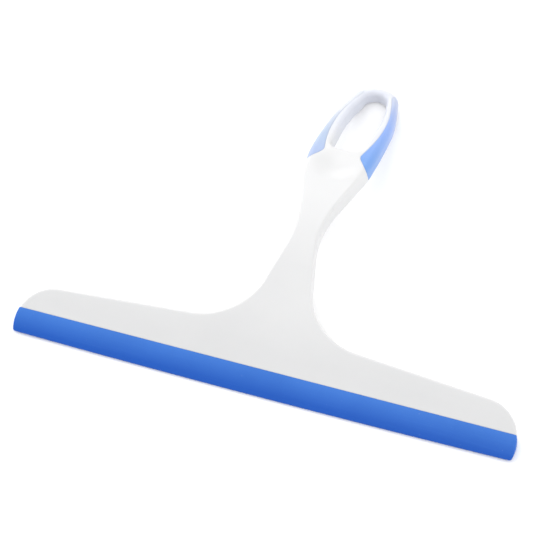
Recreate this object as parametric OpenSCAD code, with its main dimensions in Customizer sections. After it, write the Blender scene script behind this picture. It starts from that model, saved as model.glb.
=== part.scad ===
// One-handed window squeegee: a white moulded frame (wide head, narrow neck,
// hanging loop), a blue soft blade keyed into the head, and two blue soft grips
// on the outer sides of the loop.
//
// Working frame of the profiles ("head frame"): X along the blade, Y up the
// handle in the plane of the head, Z out of the smooth front face.
// The handle bends backwards, so its stations are lengths s along the bend.
// At the end everything is turned to lie face up on its blade and loop end.

/* [Head] */
// Overall width of head and blade
head_w = 247.2; // [225:1:260]
// Radius of the rounded ends of the head
end_r = 18; // [17:0.5:19]
// Height of the centre of the end radius above the tip line
end_y = 7; // [6:0.5:8]
// Radius of the ends of the blade
blade_end_r = 19; // [18.5:0.5:22]
// Height of the centre of the blade's end radius above the tip line
blade_end_y = 5.4; // [5:0.1:6]
// Rise angle of the head's top edge towards the neck, degrees
top_rise = 4.4; // [3.8:0.1:5]
// Thickness of the head
head_t = 7.5; // [7:0.1:8.5]
// Radius of the fillet between head and neck
fillet_r = 33; // [31:0.5:35]
// Distance from the middle of the head to the start of the fillet
fillet_x = 41; // [40:0.5:43]

/* [Handle] */
// Station where the handle starts to bend backwards
bend_start = 55; // [50:1:60]
// Radius of the bend
bend_r = 150; // [140:1:170]
// Angle of the bend, degrees
bend_a = 34; // [30:1:36]
// Station of the end of the hanging loop
handle_len = 202; // [201:0.5:206]
// Half width at the narrowest point of the neck
neck_hw = 6.5; // [6:0.1:7]
// Half width at the flared thumb rest
flare_hw = 16.6; // [15.8:0.1:17]
// Thickness at the neck
neck_t = 8.4; // [8:0.1:9.5]
// Thickness at the thumb rest
flare_t = 9.8; // [9.4:0.1:11]
// Thickness of the loop before its back runs up towards the end
loop_t = 8; // [7.4:0.1:9]
// How far the back of the loop runs up at its very end
end_lift = 2.8; // [0:0.1:3]
// Station where the back of the loop starts to run up
lift_s = 184; // [176:1:188]
// Radius of the rounded end of the handle
cap_r = 12.1; // [11.5:0.1:12.5]

/* [Loop hole] */
// Width of the rim past the hole at the end of the handle
rim_end = 5; // [4.5:0.1:6]
// Radius of the upper end of the hole
hole_top_r = 6; // [5.5:0.1:6.2]
// Largest half width of the hole
hole_hw = 9.1; // [8.6:0.1:9.4]
// Station of the lower edge of the hole
hole_low = 139; // [138.5:0.5:141]

/* [Thumb rest] */
// Station of the middle of the dimple
dimple_s = 125; // [123:0.5:126]
// Depth of the dimple
dimple_d = 1.6; // [1:0.1:2]
// Sphere radius of the dimple
dimple_r = 34; // [28:1:36]

/* [Cored back] */
// Thickness of the front skin
skin = 2.6; // [2.2:0.1:3]
// Thickness of the rim round the cored back
rim = 2.2; // [2:0.1:2.6]
// Thickness of the ribs
rib_t = 1.6; // [1.2:0.1:2]
// Pitch of the ribs in the head
rib_pitch = 26; // [22:1:30]

/* [Blade] */
// Height of the line where the blade meets the head
body_line = 11.3; // [11:0.1:12]
// How far the tip bulges down in the middle
crown = 1; // [0:0.1:1.4]
// Height of the flex line of the lip
flex_y = 5.5; // [5.4:0.1:5.6]
// Radius of the rounded root of the lip
lip_r = 1.9; // [1.8:0.05:1.9]
// Running gap round the root of the lip
lip_gap = 0.06; // [0.04:0.01:0.09]
// Half thickness of the tip
tip_h = 0.55; // [0.4:0.05:0.7]
// Thickness of the tongue that is keyed into the head
tongue_t = 2.6; // [2.2:0.1:2.8]
// Radius of the bead on the tongue
bead_r = 1.9; // [1.8:0.1:2.1]
// Height of the bead's axis
bead_y = 15; // [14.8:0.1:15.2]

/* [Hidden] */
$fn = 64;
white = [0.93, 0.93, 0.94];
blue = [0.22, 0.45, 0.85];
light_blue = [0.42, 0.62, 0.93];

half = head_w / 2;
blade_x = half - blade_end_r;         // middle of the blade's end radius
end_x = half - end_r - 0.43;          // middle of the head's end radius, flush at the body line
tip_y = 0.1;                          // tip line at the ends of the blade
arc_len = bend_r * bend_a * PI / 180;

// ---- the bend: station s and offset o from the middle surface give [y, z]
function turn(s) = min(max((s - bend_start) / bend_r * 180 / PI, 0), bend_a);
function past(s) = max(s - bend_start - arc_len, 0);
function mid(s) = s < bend_start ? [s, 0] :
    [bend_start + bend_r * sin(turn(s)) + past(s) * cos(bend_a),
     -bend_r * (1 - cos(turn(s))) - past(s) * sin(bend_a)];
function prof(s, o) = mid(s) + o * [sin(turn(s)), cos(turn(s))];
// the same station measured along the straight loop, from the end of the bend
function loop_y(s) = turn(s) < bend_a
    ? -bend_r * sin(bend_a - turn(s)) - max(bend_start - s, 0) * cos(bend_a)
    : past(s);

function lift(s) = s > lift_s ? end_lift * pow((s - lift_s) / (handle_len - lift_s), 2) : 0;

// ---- smooth tables: rows of [station, value, slope]
function row(t, s, i = 0) = (i >= len(t) - 2 || s < t[i + 1][0]) ? i : row(t, s, i + 1);
function herm(a, b, u, d) = a[1] * (2*u*u*u - 3*u*u + 1) + a[2] * d * (u*u*u - 2*u*u + u)
    + b[1] * (3*u*u - 2*u*u*u) + b[2] * d * (u*u*u - u*u);
function look(t, s) = let (i = row(t, s), a = t[i], b = t[i + 1], d = b[0] - a[0])
    herm(a, b, min(max((s - a[0]) / d, 0), 1), d);

// thickness along the handle
thick_tab = [[0, head_t, 0], [50, head_t, 0], [86, neck_t, 0.035],
             [126, flare_t, 0], [165, (flare_t + loop_t) / 2, -0.03], [210, loop_t, 0]];
function thick(s) = look(thick_tab, s);

// half width of the handle; it keeps one width across the neck
cap_s = handle_len - cap_r;           // middle of the rounded end
cap_in = 12.7;                        // angle where the sides run into the rounded end
width_tab = [[56, 11.4, -0.22], [70, neck_hw + 1.7, -0.19], [81, neck_hw, -0.03], [87, neck_hw + 0.1, 0.08],
             [100, neck_hw + 2.3, 0.25], [116, flare_hw - 3.3, 0.25], [134, flare_hw - 0.1, 0.06],
             [150, flare_hw + 0.2, -0.02], [170, 15.9, -0.1],
             [cap_s + cap_r * sin(cap_in), cap_r * cos(cap_in), -tan(cap_in)]];
function width(s) = look(width_tab, s);

// ---- plan outlines, right half, from the outside inwards
end_low = asin((body_line - end_y) / end_r);
line_y = end_y + end_r * cos(top_rise);
line_x = end_x + end_r * sin(top_rise);
foot_y = line_y + (line_x - fillet_x) * tan(top_rise);
fil_c = [fillet_x + fillet_r * sin(top_rise), foot_y + fillet_r * cos(top_rise)];
fil_end = asin((fil_c[1] - 56) / fillet_r);

head_half = concat(
    [for (i = [0:14]) let (a = end_low + (90 - top_rise - end_low) * i / 14)
        [end_x + end_r * cos(a), end_y + end_r * sin(a)]],
    [for (i = [0:12]) let (a = 270 - top_rise - (90 - top_rise - fil_end) * i / 12)
        [fil_c[0] + fillet_r * cos(a), fil_c[1] + fillet_r * sin(a)]],
    [for (s = [60:4:88]) [width(s), mid(s)[0]]]);
loop_half = concat(
    [for (s = [83:3:191]) [width(s), loop_y(s)]],
    [for (i = [0:7]) let (a = cap_in + (90 - cap_in) * i / 8)
        [cap_r * cos(a), loop_y(cap_s) + cap_r * sin(a)]]);

function flip(p) = [for (i = [len(p) - 1:-1:0]) [-p[i][0], p[i][1]]];

// ---- placing
module in_loop() { translate([0, mid(bend_start + arc_len)[0], mid(bend_start + arc_len)[1]]) rotate([-bend_a, 0, 0]) children(); }

// rest pose: face up, on the blade tip and on the back edge of the loop's end
rest_a = [-crown + tip_y, -tip_h];
rest_b = prof(handle_len, lift(handle_len) - thick(handle_len) / 2);
lay = -atan2(rest_b[1] - rest_a[1], rest_b[0] - rest_a[0]);
function laid(p) = [p[0] * cos(lay) - p[1] * sin(lay), p[0] * sin(lay) + p[1] * cos(lay)];
low_y = laid([-crown + tip_y, tip_h])[0];
high_y = laid(prof(handle_len, thick(handle_len) / 2))[0];
module lying() { translate([0, -(low_y + high_y) / 2, -laid(rest_a)[1]]) rotate([lay, 0, 0]) children(); }

// ---- side profile band between two offsets given by functions of thickness
module band(front, back, s0, s1, wide) {
    st = concat([s0], [for (s = [ceil(s0 / 4) * 4 + (ceil(s0 / 4) * 4 == s0 ? 4 : 0) : 4 : s1 - 1]) s], [s1]);
    n = len(st);
    rotate([90, 0, 90]) translate([0, 0, -wide]) linear_extrude(2 * wide)
        polygon(concat([for (i = [0:n - 1]) prof(st[i], front[0] * thick(st[i]) + front[1])],
                       [for (i = [n - 1:-1:0]) prof(st[i], back[0] * thick(st[i]) + back[1] + lift(st[i]))]));
}

module whole_band() { band([0.5, 0], [-0.5, 0], body_line, handle_len + 3, half + 2); }

module plan_head() { translate([0, 0, -30]) linear_extrude(60) polygon(concat(head_half, flip(head_half))); }
module plan_loop() { in_loop() translate([0, 0, -14]) linear_extrude(60) polygon(concat(loop_half, [[0, loop_y(handle_len)]], flip(loop_half))); }

// ---- the hole of the hanging loop
hole_s = handle_len - rim_end - hole_top_r;
module hole_plan() {
    hull() {
        translate([0, loop_y(hole_s)]) circle(hole_top_r - 0.06);
        translate([0, loop_y(178)]) circle(hole_hw - 0.7);
        translate([0, loop_y(167)]) circle(hole_hw);
        for (x = [-3.6, 3.6]) translate([x, loop_y(hole_low) + 4.5]) circle(4.5);
    }
}
module loop_hole() {
    in_loop() translate([0, 0, -20]) {
        linear_extrude(40) hole_plan();
        translate([0, loop_y(hole_s), 0]) cylinder(r = hole_top_r, h = 40);
    }
}

// ---- soft grips: inner edge on the front face as rows of [station, x];
// towards the back face the edge moves up the handle by grip_lean for each mm
grip_lean = 0.41;
grip_in = [[125.4, 15.8], [129.6, 12.5], [133.9, 9.7], [136.3, 9.6], [143, 11], [152, 12.3],
           [160, 12.8], [168, 12.7], [176, 11.9], [184, 10.4], [190, 8.9], [195, 7.4]];
module plan_grip() {
    in_loop() multmatrix([[1, 0, 0, 0], [0, 1, -grip_lean, grip_lean * flare_t / 2], [0, 0, 1, 0]])
        translate([0, 0, -20]) linear_extrude(50)
        polygon(concat([for (g = grip_in) [g[1], loop_y(g[0])]],
                       [[7.4 + 8, loop_y(195) + 8 * tan(14)], [24, loop_y(190)], [24, loop_y(122.6)]]));
}

// ---- blade outline in plan: round ends, crowned tip
tip_half = concat(
    [for (i = [0:12]) let (x = (half - 1.2) * i / 12) [x, tip_y - crown * (1 - pow(x / half, 2))]],
    [for (a = [-14.5:3.6:15]) [blade_x + blade_end_r * cos(a), blade_end_y + blade_end_r * sin(a)]],
    [[end_x + end_r * cos(end_low), body_line]]);
module plan_blade() { translate([0, 0, -10]) linear_extrude(20) polygon(concat(tip_half, flip(tip_half))); }

module section(w) { rotate([90, 0, 90]) translate([0, 0, -w]) linear_extrude(2 * w) children(); }

// tongue and bead of the blade, and the slot that holds them
module key() {
    section(end_x + 8) {
        translate([body_line, -tongue_t / 2]) square([bead_y - body_line, tongue_t]);
        translate([bead_y, 0]) circle(bead_r);
    }
}

// ---- cored back: everything inside the rim, behind the front skin
function inset(p, i, d) = let (a = p[max(i - 1, 0)], b = p[min(i + 1, len(p) - 1)], t = (b - a) / norm(b - a)) p[i] + d * [-t[1], t[0]];
core_low = bead_y + bead_r + 1.8;
core_end = 112;
core_half = concat(
    [[end_x - 1, core_low], [end_x + 6, core_low + 2.5]],
    [for (i = [12:12]) [end_x - 0.5, end_y + end_r - rim - 0.3]],
    [for (i = [16:27]) inset(head_half, i, rim)],
    [for (s = [60:4:core_end]) [width(s) - rim, mid(s)[0]]]);
module plan_core() { translate([0, 0, -45]) linear_extrude(60) polygon(concat(core_half, flip(core_half))); }
module cored() {
    difference() {
        intersection() {
            band([0.5, -skin], [-0.5, -4], core_low - 4, core_end + 8, half);
            plan_core();
        }
        for (i = [-4:4]) translate([i * rib_pitch - rib_t / 2, 0, -12]) cube([rib_t, (i == 0 ? 44 : 60), 24]);
        for (s = [44, 62, 80, 97]) translate([-30, mid(s)[0] - rib_t / 2, mid(s)[1] - 14]) rotate([-turn(s), 0, 0]) cube([60, rib_t, 28]);
    }
}

// ---- pieces
module frame() {
    color(white) lying() difference() {
        intersection() {
            whole_band();
            union() { plan_head(); plan_loop(); }
        }
        loop_hole();
        plan_grip();
        mirror([1, 0, 0]) plan_grip();
        key();
        cored();
        translate([0, prof(dimple_s, thick(dimple_s) / 2 - dimple_d + dimple_r)[0],
                      prof(dimple_s, thick(dimple_s) / 2 - dimple_d + dimple_r)[1]]) sphere(dimple_r);
    }
}

module grip(side) {
    color(light_blue) lying() mirror([side < 0 ? 1 : 0, 0, 0]) intersection() {
        whole_band();
        plan_loop();
        plan_grip();
    }
}
module grip_left() { grip(-1); }
module grip_right() { grip(1); }

module blade_root() {
    color(blue) lying() union() {
        intersection() {
            section(half + 2) difference() {
                polygon([[body_line, -head_t / 2], [body_line, head_t / 2], [8, 3.1], [6.7, 2.75], [6.3, 1.6],
                         [6.3, -1.6], [6.7, -2.75], [8, -3.1]]);
                translate([flex_y, 0]) circle(lip_r + lip_gap);
            }
            plan_blade();
        }
        key();
    }
}

module blade_lip() {
    color(blue) lying() intersection() {
        union() {
            section(half + 2) translate([flex_y, 0]) circle(lip_r);
            section(half + 2) polygon([[tip_y - crown - 0.5, tip_h - 0.15], [2, 1.42], [4.2, 2.08], [4.7, 1.4],
                [4.7, -1.4], [4.2, -2.08], [2, -1.42], [tip_y - crown - 0.5, 0.15 - tip_h]]);
        }
        plan_blade();
    }
}

frame();
blade_root();
blade_lip();
grip_left();
grip_right();
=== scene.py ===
import math

import bpy
import numpy as np
from mathutils import Matrix, Vector
from mathutils.geometry import delaunay_2d_cdt


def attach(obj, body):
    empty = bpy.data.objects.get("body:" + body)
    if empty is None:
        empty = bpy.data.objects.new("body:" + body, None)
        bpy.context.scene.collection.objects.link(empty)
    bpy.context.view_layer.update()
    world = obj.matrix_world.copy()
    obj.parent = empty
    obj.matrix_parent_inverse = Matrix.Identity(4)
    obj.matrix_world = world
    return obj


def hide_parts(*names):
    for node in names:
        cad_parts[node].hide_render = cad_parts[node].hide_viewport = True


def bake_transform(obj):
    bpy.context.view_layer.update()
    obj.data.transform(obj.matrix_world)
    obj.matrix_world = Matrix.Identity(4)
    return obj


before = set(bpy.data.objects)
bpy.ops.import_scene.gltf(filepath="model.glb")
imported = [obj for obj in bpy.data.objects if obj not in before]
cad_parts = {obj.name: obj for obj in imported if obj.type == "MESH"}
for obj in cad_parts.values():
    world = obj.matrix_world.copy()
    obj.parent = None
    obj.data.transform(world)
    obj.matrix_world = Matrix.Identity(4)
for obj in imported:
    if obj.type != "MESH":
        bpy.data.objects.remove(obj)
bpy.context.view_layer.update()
scene = bpy.context.scene
MM = 0.001
rng = np.random.default_rng(7)

# ---------------------------------------------------------------- camera
cam_data = bpy.data.cameras.new("camera")
cam_data.sensor_width = 36.0
cam_data.lens = 129.2
cam = bpy.data.objects.new("camera", cam_data)
cam.location = (0.22274, -0.56803, 0.75802)
cam.rotation_euler = [math.radians(a) for a in (37.703, 3.245, 19.497)]
cam_data.clip_start, cam_data.clip_end = 0.01, 20.0
scene.collection.objects.link(cam)
scene.camera = cam

# ---------------------------------------------------------------- design, in mm
# Plan coordinates are (x, s): x across the blade, s the length along the handle's bend.
# The head is flat up to BEND_S; o is the offset from the middle surface, + to the front.
BEND_S, BEND_R, BEND_A = 55.0, 150.0, math.radians(34)
HEAD_T = 7.5
THICK = [[0, 7.5, 0], [50, 7.5, 0], [86, 8.4, 0.035], [126, 9.8, 0], [165, 8.9, -0.03], [210, 8, 0]]
CAP_R, HANDLE_L, HOLE_S = 12.1, 202.0, 191.0
CAP_S = HANDLE_L - CAP_R
CAP_IN = math.radians(12.7)
WIDTH = [[56, 11.4, -0.22], [70, 8.2, -0.19], [81, 6.5, -0.03], [87, 6.6, 0.08], [100, 8.8, 0.25], [116, 13.3, 0.25],
         [134, 16.5, 0.06], [150, 16.8, -0.02], [170, 15.9, -0.1],
         [CAP_S + CAP_R * math.sin(CAP_IN), CAP_R * math.cos(CAP_IN), -math.tan(CAP_IN)]]
END_R, END_X, END_Y = 18.0, 105.17, 7.0
HALF, BLADE_R, BLADE_Y = 123.6, 19.0, 5.4
RISE = math.radians(4.4)
FIL_R, FIL_X = 33.0, 41.0
BODY_LINE = 11.3
TIP_Y, CROWN, TIP_H = 0.1, 1.0, 0.55
SKIN, RIM, RIB_T, RIB_P = 2.6, 2.2, 1.6, 26.0
CORE_LOW, CORE_END = 18.7, 112.0


def herm(tab, s):
    t = np.array(tab, float)
    s = np.asarray(s, float)
    i = np.clip(np.searchsorted(t[:, 0], s, side="right") - 1, 0, len(t) - 2)
    a, b = t[i], t[i + 1]
    d = b[..., 0] - a[..., 0]
    u = np.clip((s - a[..., 0]) / d, 0, 1)
    return (a[..., 1] * (2 * u**3 - 3 * u**2 + 1) + a[..., 2] * d * (u**3 - 2 * u**2 + u)
            + b[..., 1] * (3 * u**2 - 2 * u**3) + b[..., 2] * d * (u**3 - u**2))


def thick(s):
    return herm(THICK, s)


def width(s):
    return herm(WIDTH, s)


def lift(s):
    """how far the back runs up towards the loop's end"""
    return 2.8 * (np.clip(np.asarray(s, float) - 184, 0, None) / (HANDLE_L - 184)) ** 2


def profile(s, o):
    s = np.asarray(s, float)
    th = np.clip((s - BEND_S) / BEND_R, 0, BEND_A)
    past = np.clip(s - BEND_S - BEND_R * BEND_A, 0, None)
    y = np.where(s < BEND_S, s, BEND_S + BEND_R * np.sin(th)) + past * math.cos(BEND_A)
    z = np.where(s < BEND_S, 0, -BEND_R * (1 - np.cos(th))) - past * math.sin(BEND_A)
    return y + o * np.sin(th), z + o * np.cos(th)


# the resting pose: on the blade tip and the back edge of the loop's end
_a = (TIP_Y - CROWN, -TIP_H)
_b = [float(v) for v in profile(HANDLE_L, float(lift(HANDLE_L)) - float(thick(HANDLE_L)) / 2)]
LAY = -math.atan2(_b[1] - _a[1], _b[0] - _a[0])


def laid(y, z):
    return y * math.cos(LAY) - z * math.sin(LAY), y * math.sin(LAY) + z * math.cos(LAY)


_f = [float(v) for v in profile(HANDLE_L, float(thick(HANDLE_L)) / 2)]
OFF_Y = -(laid(_a[0], TIP_H)[0] + laid(*_f)[0]) / 2
OFF_Z = -laid(*_a)[1]


def place(x, s, o):
    """plan coordinates and offset, in mm, to the row frame in metres"""
    y, z = profile(s, o)
    y, z = laid(y, z)
    return np.stack([np.asarray(x, float), y + OFF_Y, z + OFF_Z], -1) * MM


# ---------------------------------------------------------------- plan curves
def resample(p, step):
    p = np.asarray(p, float)
    d = np.r_[0, np.cumsum(np.hypot(*np.diff(p, axis=0).T))]
    n = max(2, int(round(d[-1] / step)) + 1)
    t = np.linspace(0, d[-1], n)
    return np.stack([np.interp(t, d, p[:, 0]), np.interp(t, d, p[:, 1])], -1)


def catmull(p, n=10):
    p = np.asarray(p, float)
    q = np.vstack([2 * p[0] - p[1], p, 2 * p[-1] - p[-2]])
    t = np.linspace(0, 1, n, endpoint=False)[:, None]
    out = [0.5 * (2 * q[k] + (q[k + 1] - q[k - 1]) * t + (2 * q[k - 1] - 5 * q[k] + 4 * q[k + 1] - q[k + 2]) * t**2
                  + (3 * q[k] - q[k - 1] - 3 * q[k + 1] + q[k + 2]) * t**3) for k in range(1, len(q) - 2)]
    return np.vstack(out + [p[-1:]])


def arc(cx, cy, r, a0, a1, n):
    a = np.linspace(a0, a1, n)
    return np.stack([cx + r * np.cos(a), cy + r * np.sin(a)], -1)


line_y = END_Y + END_R * math.cos(RISE)
line_x = END_X + END_R * math.sin(RISE)
foot_y = line_y + (line_x - FIL_X) * math.tan(RISE)
fil = (FIL_X + FIL_R * math.sin(RISE), foot_y + FIL_R * math.cos(RISE))
fil_end = math.asin((fil[1] - 56) / FIL_R)
right = np.vstack([
    arc(END_X, END_Y, END_R, math.radians(-20), math.pi / 2 - RISE, 80),
    arc(fil[0], fil[1], FIL_R, 1.5 * math.pi - RISE, math.pi + fil_end, 60),
    np.stack([width(np.arange(57, 193.2, 0.5)), np.arange(57, 193.2, 0.5)], -1),
    arc(0, CAP_S, CAP_R, CAP_IN, math.pi / 2, 40)])
EDGE = resample(np.vstack([right, (right[::-1] * [-1, 1])[1:]]), 0.7)   # right blade end, round the loop, left blade end


def hull2(p):
    p = p[np.lexsort((p[:, 1], p[:, 0]))]

    def side(q):
        out = []
        for a in q:
            while len(out) > 1 and np.cross(out[-1] - out[-2], a - out[-2]) <= 1e-9:
                out.pop()
            out.append(a)
        return out[:-1]
    return np.array(side(list(p)) + side(list(p[::-1])))


_c = []
for cs, cr, cx in ((HOLE_S, 6.0, 0), (178, 8.4, 0), (167, 9.1, 0), (143.5, 4.5, 3.6), (143.5, 4.5, -3.6)):
    _c.append(arc(cx, cs, cr, 0, 2 * math.pi, 181)[:-1])
HOLE = hull2(np.vstack(_c))
HOLE = resample(np.vstack([HOLE, HOLE[:1]]), 0.6)[:-1]
# round off the polygon's own kinks
for _ in range(6):
    HOLE = (np.roll(HOLE, 1, 0) + 2 * HOLE + np.roll(HOLE, -1, 0)) / 4

SEAM_R = resample(catmull([(18.3, 122.0), (15.7, 125.3), (12.7, 129.5), (10.2, 133.2), (9.5, 135.6), (10.0, 138.4), (11.0, 143),
                           (12.3, 152), (12.8, 160), (12.7, 168), (11.9, 176), (10.4, 184), (8.9, 190), (7.7, 194),
                           (7.9, 196.2), (9.3, 197.6), (13, 199)], 12), 0.7)
SEAMS = [SEAM_R, SEAM_R * [-1, 1]]


def seg_dist(p, line, closed=False):
    """distance from each point to a polyline, and the index of the nearest segment"""
    a = line
    b = np.roll(line, -1, 0) if closed else line[1:]
    a = a if closed else line[:-1]
    d = b - a
    L = (d**2).sum(1) + 1e-15
    best = np.full(len(p), 1e9)
    idx = np.zeros(len(p), int)
    for k in range(0, len(p), 4000):
        q = p[k:k + 4000]
        ap = q[:, None] - a[None]
        t = np.clip((ap * d).sum(2) / L, 0, 1)
        e = ((ap - t[..., None] * d) ** 2).sum(2)
        j = e.argmin(1)
        best[k:k + 4000] = np.sqrt(e[np.arange(len(q)), j])
        idx[k:k + 4000] = j
    return best, idx


def inside(p, poly):
    x, y = p[:, 0:1], p[:, 1:2]
    x1, y1 = poly[:, 0], poly[:, 1]
    x2, y2 = np.roll(x1, -1), np.roll(y1, -1)
    out = np.zeros(len(p), bool)
    for k in range(0, len(p), 4000):
        c = ((y1 > y[k:k + 4000]) != (y2 > y[k:k + 4000])) & \
            (x[k:k + 4000] < (x2 - x1) * (y[k:k + 4000] - y1) / (y2 - y1 + 1e-15) + x1)
        out[k:k + 4000] = c.sum(1) % 2 == 1
    return out


def normals(line, closed=False):
    if closed:
        t = np.roll(line, -1, 0) - np.roll(line, 1, 0)
    else:
        t = np.gradient(line, axis=0)
    t = t / np.maximum(np.hypot(*t.T)[:, None], 1e-12)
    return np.stack([-t[:, 1], t[:, 0]], -1)     # left of travel


# edge radii
def r_front(s):
    return np.interp(s, [0, 60, 100, 116, 127, 142, 175, 190, 202], [1.25, 1.25, 1.2, 1.5, 2.9, 3.3, 3.2, 2.2, 1.8])


def r_back(s):
    return np.interp(s, [0, 100, 118, 134, 160, 176, 190, 202], [0.7, 0.7, 1.0, 2.6, 2.6, 1.5, 1.2, 1.0])


R_HOLE, R_HOLE_B = 2.1, 1.7
R_SEAM = 0.25
R_LINE = 0.22


def drop(d, r):
    q = np.clip(1 - d / r, 0, 1)
    return r * (1 - np.sqrt(np.clip(1 - q * q, 0, 1)))


# ---------------------------------------------------------------- cored back cells
def clip(poly, axis, limit, keep_below):
    out = []
    n = len(poly)
    for i in range(n):
        a, b = poly[i], poly[(i + 1) % n]
        ia = (a[axis] <= limit) if keep_below else (a[axis] >= limit)
        ib = (b[axis] <= limit) if keep_below else (b[axis] >= limit)
        if ia:
            out.append(a)
        if ia != ib:
            t = (limit - a[axis]) / (b[axis] - a[axis])
            out.append(a + t * (b - a))
    return np.array(out)


def window(poly, x0, x1, y0, y1):
    for ax, lim, below in ((0, x0, False), (0, x1, True), (1, y0, False), (1, y1, True)):
        if len(poly) < 3:
            return poly
        poly = clip(poly, ax, lim, below)
    return poly


def inner_outline(d):
    half = right[right[:, 1] > 15]
    n = normals(half)
    p = half + n * (RIM + d)
    keep = (p[:, 1] > CORE_LOW - 1) & (half[:, 1] < CORE_END + 8) & (p[:, 0] > 0.2)
    keep &= seg_dist(p, right)[0] > RIM + d - 0.05
    p = p[keep]
    return np.vstack([p, p[::-1] * [-1, 1]])


def soften(poly, r=0.9):
    """rounds the corners of a closed polygon"""
    p = resample(np.vstack([poly, poly[:1]]), 0.45)[:-1]
    for _ in range(5):
        p = (np.roll(p, 1, 0) + 2 * p + np.roll(p, -1, 0)) / 4
    q = resample(np.vstack([p, p[:1]]), r)[:-1]
    return q


WINDOWS = []
for i in range(4):
    x0, x1 = RIB_P * i + RIB_T / 2, RIB_P * (i + 1) - RIB_T / 2
    top = 44 - RIB_T / 2 if i == 0 else 60
    WINDOWS += [(x0, x1, CORE_LOW, top), (-x1, -x0, CORE_LOW, top)]
for y0, y1 in ((44, 62), (62, 80), (80, 97), (97, CORE_END + RIB_T / 2)):
    WINDOWS.append((-40, 40, y0 + RIB_T / 2, y1 - RIB_T / 2))


def cell(w, d):
    p = window(inner_outline(d), w[0] + d, w[1] - d, w[2] + d, w[3] - d)
    return p


CELLS = []      # (edge loop, floor loop)
for w in WINDOWS:
    a, b = cell(w, 0.0), cell(w, 0.32)
    if len(a) > 5 and len(b) > 5:
        CELLS.append((soften(a), soften(b)))

# ---------------------------------------------------------------- plan triangulation
class Plan:
    def __init__(self):
        self.v, self.e = [], []

    def line(self, p, closed=False):
        k = len(self.v)
        self.v += [tuple(q) for q in p]
        n = len(p)
        self.e += [(k + i, k + i + 1) for i in range(n - 1)]
        if closed:
            self.e.append((k + n - 1, k))

    def points(self, p):
        self.v += [tuple(q) for q in p]

    def solve(self):
        v, e, f, *_ = delaunay_2d_cdt([Vector(q) for q in self.v], self.e, [], 0, 1e-4, False)
        return np.array([tuple(q) for q in v]), np.array([tuple(q) for q in f if len(q) == 3])


def above_line(p):
    """the part of an open polyline above the body line, with its two ends put on that line"""
    i = np.where(p[:, 1] > BODY_LINE + 1e-6)[0]
    a, b = i[0], i[-1]

    def cut(u, w):
        t = (BODY_LINE - u[1]) / (w[1] - u[1])
        return u + t * (w - u)
    return np.vstack([[cut(p[a - 1], p[a])], p[a:b + 1], [cut(p[b + 1], p[b])]])


plan = Plan()
edge_top = above_line(EDGE)
plan.line(edge_top)
base = resample([edge_top[-1], edge_top[0]], 1.4)
plan.line(base)
en = normals(EDGE)
rf_e = r_front(EDGE[:, 1])
STEPS = [0.034, 0.134, 0.293, 0.5, 0.741, 1.0]
for f in STEPS:
    plan.line(above_line(EDGE + en * (rf_e * f)[:, None]))
plan.line(HOLE, True)
hn = normals(HOLE, True)
if inside(HOLE[:1] + hn[:1] * 0.2, HOLE)[0]:
    hn = -hn
for f in STEPS:
    plan.line(HOLE + hn * R_HOLE * f, True)
GRIP_AREAS = []
for sgn, sm in zip((1, -1), SEAMS):
    plan.line(sm)
    n = normals(sm)
    for d in (-R_SEAM, -R_SEAM * 0.45, -R_SEAM * 0.12, R_SEAM * 0.12, R_SEAM * 0.45, R_SEAM):
        plan.line(sm + n * d)
    GRIP_AREAS.append(np.vstack([sm, [[sgn * 30, 199], [sgn * 30, 120.6]]]))
inset_base = [0.03, 0.1, R_LINE]
for d in inset_base:
    plan.line(np.stack([base[:, 0] * (1 - 0.002), base[:, 1] + d], -1)[1:-1])
for a, b in CELLS:
    plan.line(a, True)
    plan.line(b, True)
DIM_S, DIM_R, DIM_D = 126.2, 13.0, 2.3
# small round marks left by the mould, on the back: (x, s, radius, depth)
MARKS = [(-92, 15.2, 1.6, 0.12), (-46, 15.2, 1.6, 0.12), (46, 15.2, 1.6, 0.12), (92, 15.2, 1.6, 0.12), (0, 15.2, 1.6, 0.12),
         (0, 120.5, 2.6, 0.3), (0, 131.5, 1.6, 0.12)]
for x, s, r, _ in MARKS:
    plan.line(arc(x, s, r, 0, 2 * math.pi, 25)[:-1], True)
    plan.line(arc(x, s, r + 0.14, 0, 2 * math.pi, 25)[:-1], True)

gx, gy = np.meshgrid(np.arange(-121.2, 121.3, 1.5), np.arange(12.4, 62, 1.5))
hx, hy = np.meshgrid(np.arange(-17, 17.1, 0.85), np.arange(62.5, 202, 0.85))
g = np.vstack([np.stack([gx.ravel() + 0.37 * ((np.round(gy.ravel() / 1.5)) % 2), gy.ravel()], -1),
               np.stack([hx.ravel() + 0.4 * ((np.round(hy.ravel() / 0.85)) % 2), hy.ravel()], -1)])
shape_poly = np.vstack([edge_top])
d_e, i_e = seg_dist(g, EDGE)
keep = inside(g, shape_poly) & (d_e > rf_e[i_e] + 0.35)
d_h, _ = seg_dist(g, HOLE, True)
keep &= ~inside(g, HOLE) & (d_h > R_HOLE + 0.3)
keep &= g[:, 1] > BODY_LINE + 0.7
for sm in SEAMS:
    keep &= seg_dist(g, sm)[0] > R_SEAM + 0.3
for a, b in CELLS:
    keep &= (seg_dist(g, a, True)[0] > 0.35) & (seg_dist(g, b, True)[0] > 0.35)
for x, s, r, _ in MARKS:
    keep &= np.abs(np.hypot(g[:, 0] - x, g[:, 1] - s) - r) > 0.4
plan.points(g[keep])
PV, PF = plan.solve()
cen = PV[PF].mean(1)
ok = inside(cen, shape_poly) & ~inside(cen, HOLE)
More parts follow.
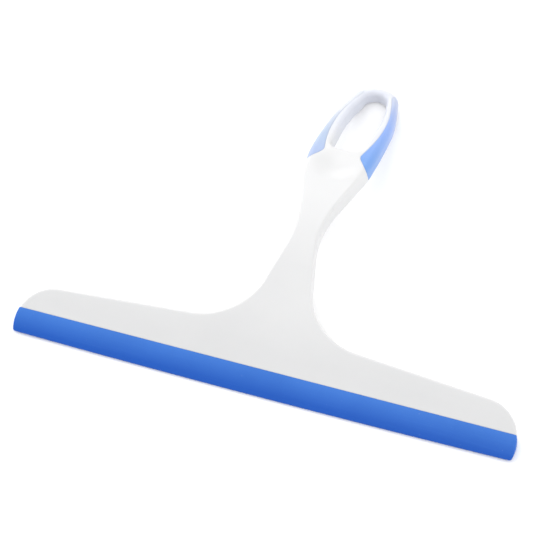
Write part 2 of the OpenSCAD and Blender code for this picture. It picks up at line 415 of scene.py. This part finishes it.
# a triangle with no area would leave a stray face
e1, e2 = PV[PF[:, 1]] - PV[PF[:, 0]], PV[PF[:, 2]] - PV[PF[:, 0]]
area = e1[:, 0] * e2[:, 1] - e1[:, 1] * e2[:, 0]
ok &= np.abs(area) > 1e-7
PF = PF[ok]
area = area[ok]
PF[area < 0] = PF[area < 0][:, ::-1]
cen = PV[PF].mean(1)
in_grip = [inside(cen, a) for a in GRIP_AREAS]

# ---------------------------------------------------------------- heights
d_out, i_out = seg_dist(PV, EDGE)
s_out = EDGE[np.minimum(i_out, len(EDGE) - 1), 1]
d_hole, _ = seg_dist(PV, HOLE, True)
d_seam = np.minimum(seg_dist(PV, SEAMS[0])[0], seg_dist(PV, SEAMS[1])[0])
d_base = PV[:, 1] - BODY_LINE
half_t = thick(PV[:, 1]) / 2


def hole_edge(v):
    return v[:, 1] > 100


common = drop(d_seam, R_SEAM) * 0.9 + drop(d_base, R_LINE)
near_hole = PV[:, 1] > 100
rho = np.hypot(PV[:, 0] / 1.0, (PV[:, 1] - DIM_S) / 1.0) / DIM_R
dimple = np.where(rho < 1, DIM_D * (1 - rho**2) ** 2, 0)
o_front = half_t - drop(d_out, r_front(s_out)) - common - dimple - np.where(near_hole, drop(d_hole, R_HOLE), 0)
o_back = -half_t + lift(PV[:, 1]) + drop(d_out, r_back(s_out)) + common + np.where(near_hole, drop(d_hole, R_HOLE_B), 0)
# the seam between white and blue leans: it moves up the handle towards the back face
sm01 = lambda t: np.clip(t, 0, 1) ** 2 * (3 - 2 * np.clip(t, 0, 1))
lean = 0.41 * sm01((PV[:, 1] - 110) / 13) * (1 - sm01((PV[:, 1] - 146) / 36)) * sm01((np.abs(PV[:, 0]) - 5) / 5) \
    * np.where(PV[:, 1] > 134, sm01(d_hole / 2.5), 1)


def leaned(x, s, o, k):
    s2 = s + k * (thick(s) / 2 - o)
    return x * (1 + (width(s2) / width(s) - 1) * np.minimum(1, k / 0.41)), s2
for a, b in CELLS:
    ia = inside(PV, a)
    ib = inside(PV, b)
    da, db = seg_dist(PV, a, True)[0], seg_dist(PV, b, True)[0]
    on_a = da < 2e-3
    on_b = db < 2e-3
    floor_o = half_t - SKIN
    o_back = np.where((ib | on_b) & ~on_a, floor_o, o_back)
    mid_wall = ia & ~ib & ~on_a & ~on_b
    t = da / np.maximum(da + db, 1e-9)
    o_back = np.where(mid_wall, -half_t + (floor_o + half_t) * t, o_back)
for x, s, r, dep in MARKS:
    q = np.hypot(PV[:, 0] - x, PV[:, 1] - s)
    o_back = np.where(q < r + 0.01, o_back + dep, o_back)


def solid(name, faces, shrink=0.0, rows=4):
    """a closed piece over these plan triangles: front, back and the walls round them"""
    used = np.unique(faces)
    remap = -np.ones(len(PV), int)
    remap[used] = np.arange(len(used))
    f = remap[faces]
    n = len(used)
    xy = PV[used].copy()
    fr, bk = o_front[used], o_back[used]
    # boundary edges, each used by one triangle
    edges = {}
    for t in f:
        for a, b in ((t[0], t[1]), (t[1], t[2]), (t[2], t[0])):
            edges[(a, b)] = True
    rim_e = [(a, b) for (a, b) in edges if (b, a) not in edges]
    if shrink:
        on_seam = d_seam[used] < 1e-3
        xy[on_seam, 0] += np.sign(xy[on_seam, 0]) * shrink
    k_l = lean[used]

    def put(i, o):
        x, q = leaned(xy[i, 0], xy[i, 1], o, k_l[i])
        return place(x, q, o)
    every = np.arange(n)
    verts = np.vstack([put(every, fr), put(every, bk)])
    out = [tuple(int(q) for q in t) for t in f] + [tuple(int(q) + n for q in t[::-1]) for t in f]
    rim_v = sorted({a for e in rim_e for a in e})
    col = {}
    extra = []
    for v in rim_v:
        ids = [v]
        for k in range(1, rows):
            t = k / rows
            extra.append(put(v, fr[v] * (1 - t) + bk[v] * t))
            ids.append(2 * n + len(extra) - 1)
        ids.append(v + n)
        col[v] = ids
    for a, b in rim_e:
        for k in range(rows):
            out.append((col[a][k], col[a][k + 1], col[b][k + 1], col[b][k]))
    verts = np.vstack([verts, np.array(extra).reshape(-1, 3)])
    return make(name, verts, out)


def make(name, verts, faces, sharp=38):
    me = bpy.data.meshes.new(name)
    me.from_pydata([tuple(v) for v in verts], [], faces)
    me.validate()
    me.update()
    me.polygons.foreach_set("use_smooth", [True] * len(me.polygons))
    me.set_sharp_from_angle(angle=math.radians(sharp))
    ob = bpy.data.objects.new(name, me)
    scene.collection.objects.link(ob)
    return ob


frame_body = solid("frame_body", PF[~(in_grip[0] | in_grip[1])])
grip_r = solid("grip_right_soft", PF[in_grip[0]], shrink=0.02)
grip_l = solid("grip_left_soft", PF[in_grip[1]], shrink=0.02)

# ---------------------------------------------------------------- blade: one continuous soft moulding
def blade_mesh():
    nu, nv = 230, 44
    # stations across: dense at the rounded ends
    u = np.linspace(-1, 1, nu)
    u = np.sign(u) * (1 - (1 - np.abs(u)) ** 1.0)
    ends = 1 - np.array([0, 0.05, 0.15, 0.3, 0.5, 0.75, 1.1, 1.6]) / 123.0
    u = np.unique(np.round(np.r_[u[np.abs(u) < ends.min() - 0.004], ends, -ends], 6))
    v = np.unique(np.round(np.r_[0, 0.004, 0.012, 0.024, 0.04, np.linspace(0.06, 0.95, nv), 0.97, 0.983, 0.992, 0.9975, 1.0], 6))
    U, V = np.meshgrid(u, v)
    ytip = TIP_Y - CROWN * (1 - (U * (HALF - 0.7) / HALF) ** 2)
    Y = ytip + (BODY_LINE - ytip) * V
    xe = HALF - BLADE_R + np.sqrt(BLADE_R**2 - (Y - BLADE_Y) ** 2)
    rc = 0.75
    q = np.clip(1 - (Y - ytip) / rc, 0, 1)
    xe = xe - rc * (1 - np.sqrt(np.clip(1 - q * q, 0, 1)))
    X = xe * U
    rise_v = np.clip((Y - ytip) / (BODY_LINE - ytip), 0, 1)
    base_h = TIP_H + (HEAD_T / 2 - TIP_H) * rise_v ** 0.8          # the front swells a little
    back_h = TIP_H + (HEAD_T / 2 - TIP_H) * rise_v ** 0.93
    re = np.minimum(0.65, base_h * 0.85)
    rb = np.minimum(0.95, base_h * 0.85)
    d_end = xe - np.abs(X)
    rt = 0.42
    d_tip = Y - ytip
    d_top = BODY_LINE - Y
    front = base_h - drop(d_end, re) - drop(d_tip, rt) - drop(d_top, R_LINE)
    back = -back_h + drop(d_end, rb) + drop(d_tip, rt) + drop(d_top, R_LINE)
    front = np.maximum(front, 0.06)
    back = np.minimum(back, -0.06)
    m, n = X.shape
    rows = 3
    layers = [front + (back - front) * k / rows for k in range(rows + 1)]
    verts, ids = [], {}
    P = [place(X, Y, o) for o in layers]

    def vid(k, i, j):
        if 0 < k < rows and 0 < i < m - 1 and 0 < j < n - 1:
            raise ValueError
        key = (k, i, j)
        if key not in ids:
            ids[key] = len(verts)
            verts.append(P[k][i, j])
        return ids[key]
    faces = []
    for i in range(m - 1):
        for j in range(n - 1):
            faces.append((vid(0, i, j), vid(0, i, j + 1), vid(0, i + 1, j + 1), vid(0, i + 1, j)))
            faces.append((vid(rows, i, j), vid(rows, i + 1, j), vid(rows, i + 1, j + 1), vid(rows, i, j + 1)))
    for k in range(rows):
        for j in range(n - 1):
            faces.append((vid(k, 0, j), vid(k + 1, 0, j), vid(k + 1, 0, j + 1), vid(k, 0, j + 1)))
            faces.append((vid(k, m - 1, j), vid(k, m - 1, j + 1), vid(k + 1, m - 1, j + 1), vid(k + 1, m - 1, j)))
        for i in range(m - 1):
            faces.append((vid(k, i, 0), vid(k, i + 1, 0), vid(k + 1, i + 1, 0), vid(k + 1, i, 0)))
            faces.append((vid(k, i, n - 1), vid(k + 1, i, n - 1), vid(k + 1, i + 1, n - 1), vid(k, i + 1, n - 1)))
    return make("blade_soft", np.array(verts), faces, sharp=50)


blade = blade_mesh()

# ---------------------------------------------------------------- materials
def nodes_of(name):
    mat = bpy.data.materials.new(name)
    mat.use_nodes = True
    nt = mat.node_tree
    nt.nodes.clear()
    out = nt.nodes.new("ShaderNodeOutputMaterial")
    bs = nt.nodes.new("ShaderNodeBsdfPrincipled")
    nt.links.new(bs.outputs[0], out.inputs[0])
    return mat, nt, bs


def coords(nt, scale=(1, 1, 1)):
    tc = nt.nodes.new("ShaderNodeTexCoord")
    mp = nt.nodes.new("ShaderNodeMapping")
    mp.inputs["Scale"].default_value = scale
    nt.links.new(tc.outputs["Object"], mp.inputs["Vector"])
    return mp.outputs["Vector"]


def noise(nt, vec, scale, detail=3.0, rough=0.5):
    n = nt.nodes.new("ShaderNodeTexNoise")
    n.inputs["Scale"].default_value = scale
    n.inputs["Detail"].default_value = detail
    n.inputs["Roughness"].default_value = rough
    nt.links.new(vec, n.inputs["Vector"])
    return n.outputs["Fac"]


def ramp(nt, fac, stops):
    r = nt.nodes.new("ShaderNodeValToRGB")
    while len(r.color_ramp.elements) < len(stops):
        r.color_ramp.elements.new(0.5)
    for el, (p, c) in zip(r.color_ramp.elements, stops):
        el.position = p
        el.color = (*c, 1) if len(c) == 3 else c
    nt.links.new(fac, r.inputs["Fac"])
    return r.outputs["Color"]


def remap(nt, fac, a, b, lo, hi):
    m = nt.nodes.new("ShaderNodeMapRange")
    m.inputs["From Min"].default_value = a
    m.inputs["From Max"].default_value = b
    m.inputs["To Min"].default_value = lo
    m.inputs["To Max"].default_value = hi
    nt.links.new(fac, m.inputs["Value"])
    return m.outputs["Result"]


def mix(nt, fac, a, b, mode="MIX"):
    m = nt.nodes.new("ShaderNodeMix")
    m.data_type = "RGBA"
    m.blend_type = mode
    if isinstance(fac, (int, float)):
        m.inputs[0].default_value = fac
    else:
        nt.links.new(fac, m.inputs[0])
    for k, v in ((6, a), (7, b)):
        if isinstance(v, tuple):
            m.inputs[k].default_value = (*v, 1)
        else:
            nt.links.new(v, m.inputs[k])
    return m.outputs[2]


def math_node(nt, op, a, b=None):
    m = nt.nodes.new("ShaderNodeMath")
    m.operation = op
    for k, v in ((0, a), (1, b)):
        if v is None:
            continue
        if isinstance(v, (int, float)):
            m.inputs[k].default_value = v
        else:
            nt.links.new(v, m.inputs[k])
    return m.outputs[0]


def bump(nt, bs, parts):
    """parts: (height, strength, distance in metres), chained"""
    last = None
    for h, st, dist in parts:
        b = nt.nodes.new("ShaderNodeBump")
        b.inputs["Strength"].default_value = st
        b.inputs["Distance"].default_value = dist
        nt.links.new(h, b.inputs["Height"])
        if last is not None:
            nt.links.new(last, b.inputs["Normal"])
        last = b.outputs["Normal"]
    nt.links.new(last, bs.inputs["Normal"])


def white_plastic():
    mat, nt, bs = nodes_of("white_moulded_plastic")
    v = coords(nt)
    broad = noise(nt, v, 26, 4, 0.55)
    fine = noise(nt, v, 900, 2, 0.5)
    flow = noise(nt, coords(nt, (9, 60, 60)), 1.4, 5, 0.6)
    scuff = noise(nt, coords(nt, (40, 420, 420)), 2.2, 6, 0.65)
    speck = noise(nt, v, 420, 2, 0.4)
    base = ramp(nt, broad, [(0.25, (0.641, 0.643, 0.648)), (0.75, (0.672, 0.673, 0.676))])
    base = mix(nt, remap(nt, flow, 0.35, 0.75, 0, 0.35), base, (0.630, 0.632, 0.641))
    base = mix(nt, remap(nt, speck, 0.76, 0.84, 0, 0.04), base, (0.58, 0.58, 0.59))
    # the plastic turns very slightly cooler towards the loop
    sep = nt.nodes.new("ShaderNodeSeparateXYZ")
    tc = nt.nodes.new("ShaderNodeTexCoord")
    nt.links.new(tc.outputs["Object"], sep.inputs[0])
    base = mix(nt, remap(nt, sep.outputs["Y"], 0.040, 0.062, 0.0, 1.0), base, (0.966, 0.992, 1.085), "MULTIPLY")
    # painted shade: the head is painted a touch greyer than the neck, as it tilts away from the light, and the colour
    # falls a little again towards the loop
    painted_shade_tone = along_y(nt, sep.outputs["Y"], [(y, (k, k, k)) for y, k in ((-0.082, 0.930), (-0.056, 0.995), (-0.020, 0.990),
                                                                     (0.020, 1.0), (0.036, 1.0), (0.050, 0.975))])
    base = mix(nt, 1.0, base, painted_shade_tone, "MULTIPLY")
    nt.links.new(base, bs.inputs["Base Color"])
    rough = math_node(nt, "ADD", remap(nt, broad, 0.3, 0.7, 0.30, 0.36), remap(nt, scuff, 0.5, 0.85, 0.0, 0.05))
    nt.links.new(rough, bs.inputs["Roughness"])
    bs.inputs["IOR"].default_value = 1.49
    bs.inputs["Subsurface Weight"].default_value = 0.12
    bs.inputs["Subsurface Radius"].default_value = (0.0022, 0.0020, 0.0018)
    bs.inputs["Subsurface Scale"].default_value = 1.0
    bump(nt, bs, [(broad, 0.10, 0.0004), (flow, 0.05, 0.0004), (fine, 0.06, 0.00005), (scuff, 0.02, 0.00003)])
    return mat


def along_y(nt, y, stops):
    """a colour gradient along the object's length, from (y in metres, colour) stops"""
    lo, hi = stops[0][0], stops[-1][0]
    return ramp(nt, remap(nt, y, lo, hi, 0, 1), [((p - lo) / (hi - lo), c) for p, c in stops])


def soft_plastic(name, stops, stops_left, deep, lit, rough_lo, rough_hi, spec, sheen):
    mat, nt, bs = nodes_of(name)
    v = coords(nt)
    broad = noise(nt, v, 38, 4, 0.55)
    fine = noise(nt, v, 1400, 2, 0.5)
    streak = noise(nt, coords(nt, (14, 700, 700)), 1.6, 5, 0.6)
    dust = noise(nt, v, 520, 3, 0.5)
    # an object-space gradient along the length, with its own stops on the left side: painted shade on the blade, darker
    # towards its tip, and painted highlight on the grips, paler up the loop and paler on the left
    sep = nt.nodes.new("ShaderNodeSeparateXYZ")
    tc = nt.nodes.new("ShaderNodeTexCoord")
    nt.links.new(tc.outputs["Object"], sep.inputs[0])
    base = along_y(nt, sep.outputs["Y"], stops)
    if stops_left is not None:
        side = remap(nt, sep.outputs["X"], 0.001, -0.001, 0, 1)
        base = mix(nt, side, base, along_y(nt, sep.outputs["Y"], stops_left))
    base = mix(nt, remap(nt, broad, 0.35, 0.7, 0.0, 0.16), base, tuple(c * 0.82 for c in deep))
    base = mix(nt, remap(nt, streak, 0.55, 0.75, 0.0, 0.08), base, tuple(min(1, c * 1.25 + 0.02) for c in lit))
    base = mix(nt, remap(nt, dust, 0.70, 0.78, 0.0, 0.10), base, (0.40, 0.50, 0.75))
    nt.links.new(base, bs.inputs["Base Color"])
    rough = math_node(nt, "ADD", remap(nt, broad, 0.3, 0.7, rough_lo, rough_hi), remap(nt, streak, 0.5, 0.75, 0.0, 0.08))
    nt.links.new(rough, bs.inputs["Roughness"])
    bs.inputs["IOR"].default_value = 1.48
    bs.inputs["Specular IOR Level"].default_value = spec
    bs.inputs["Sheen Weight"].default_value = sheen
    bs.inputs["Sheen Roughness"].default_value = 0.35
    bs.inputs["Subsurface Weight"].default_value = 0.06
    bs.inputs["Subsurface Radius"].default_value = (0.0006, 0.0010, 0.0020)
    bs.inputs["Subsurface Scale"].default_value = 1.0
    bump(nt, bs, [(broad, 0.10, 0.0003), (streak, 0.08, 0.00006), (fine, 0.12, 0.00004)])
    return mat


m_white = white_plastic()
tip_pos = place(0.0, 1.2, 1.2)[1]
top_pos = place(0.0, 11.3, 3.75)[1]
# painted shade: the blade is painted darker at its tip, where its face turns down away from the light, and lighter at
# the body line
blade_shaded, blade_lit = (0.006, 0.087, 0.452), (0.047, 0.183, 0.598)
m_blade = soft_plastic("blue_blade_rubber", [(float(tip_pos), blade_shaded), (float(top_pos), blade_lit)], None,
                       blade_shaded, blade_lit, 0.40, 0.50, 0.28, 0.0)
# painted highlight: the grips' blue is painted paler up the loop, where a broad highlight falls, and the left grip is
# painted paler still, for the light on the left
GRIP_HIGHLIGHT_FADE = [(0.032, (0.145, 0.305, 0.680)), (0.064, (0.230, 0.355, 0.715)), (0.0765, (0.305, 0.395, 0.670)),
             (0.083, (0.370, 0.435, 0.630)), (0.089, (0.450, 0.495, 0.630)), (0.095, (0.530, 0.560, 0.640))]
GRIP_HIGHLIGHT_FADE_LEFT = [(0.032, (0.350, 0.430, 0.640)), (0.044, (0.395, 0.480, 0.620)), (0.053, (0.415, 0.480, 0.590)),
                  (0.0625, (0.480, 0.520, 0.600)), (0.072, (0.550, 0.570, 0.620)), (0.084, (0.620, 0.635, 0.670))]
m_grip = soft_plastic("blue_grip_rubber", GRIP_HIGHLIGHT_FADE, GRIP_HIGHLIGHT_FADE_LEFT,
                      (0.150, 0.310, 0.690), (0.330, 0.410, 0.670), 0.34, 0.42, 0.5, 0.15)

for ob, mat, slot in ((frame_body, m_white, "white_plastic"), (blade, m_blade, "blade_soft"),
                      (grip_r, m_grip, "grip_soft"), (grip_l, m_grip, "grip_soft")):
    ob.data.materials.append(mat)

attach(frame_body, "handle")
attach(grip_r, "handle")
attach(grip_l, "handle")
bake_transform(blade)
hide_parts("frame")
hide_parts("grip_right")
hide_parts("grip_left")
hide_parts("blade_root", "blade_lip")

# ---------------------------------------------------------------- floor and light
bm_size = 3.0
me = bpy.data.meshes.new("floor")
me.from_pydata([(-bm_size, -bm_size, 0), (bm_size, -bm_size, 0), (bm_size, bm_size, 0), (-bm_size, bm_size, 0)], [], [(0, 1, 2, 3)])
floor = bpy.data.objects.new("floor", me)
floor.location = (0, 0, -0.0002)
scene.collection.objects.link(floor)
fmat, fnt, fbs = nodes_of("pale_floor")
fn = noise(fnt, coords(fnt), 6, 3, 0.5)
fnt.links.new(ramp(fnt, fn, [(0.3, (0.895, 0.895, 0.897)), (0.7, (0.905, 0.905, 0.907))]), fbs.inputs["Base Color"])
fbs.inputs["Roughness"].default_value = 0.85
fbs.inputs["Specular IOR Level"].default_value = 0.2
fbs.inputs["Emission Color"].default_value = (1.0, 1.0, 1.0, 1)
fbs.inputs["Emission Strength"].default_value = 0.08
me.materials.append(fmat)

scene.view_settings.view_transform = "Standard"
world = bpy.data.worlds.new("studio")
world.use_nodes = True
world.node_tree.nodes["Background"].inputs[0].default_value = (1.0, 1.0, 1.0, 1)
world.node_tree.nodes["Background"].inputs[1].default_value = 0.89
scene.world = world


def area_light(name, loc, target, size, power, color=(1, 1, 1)):
    ld = bpy.data.lights.new(name, "AREA")
    ld.shape = "RECTANGLE"
    ld.size, ld.size_y = size
    ld.energy = power
    ld.color = color
    ob = bpy.data.objects.new(name, ld)
    ob.location = loc
    ob.rotation_euler = (Vector(target) - Vector(loc)).to_track_quat("-Z", "Y").to_euler()
    scene.collection.objects.link(ob)
    return ob


area_light("key", (-0.45, 0.75, 1.15), (0, 0, 0), (1.0, 0.8), 4.5)
area_light("front", (0.35, -0.75, 1.2), (0, 0, 0), (1.0, 0.8), 2.8)
area_light("left", (-1.35, 0.1, 0.6), (0, 0, 0), (1.1, 0.7), 7.8)
area_light("right", (1.35, 0.1, 0.6), (0, 0, 0), (1.1, 0.7), 4.7)
area_light("low_back", (-0.75, 1.3, 0.3), (0, 0, 0), (1.0, 0.4), 2.1)
area_light("back", (0.25, 1.35, 0.7), (0, 0, 0), (1.1, 0.7), 1.0)
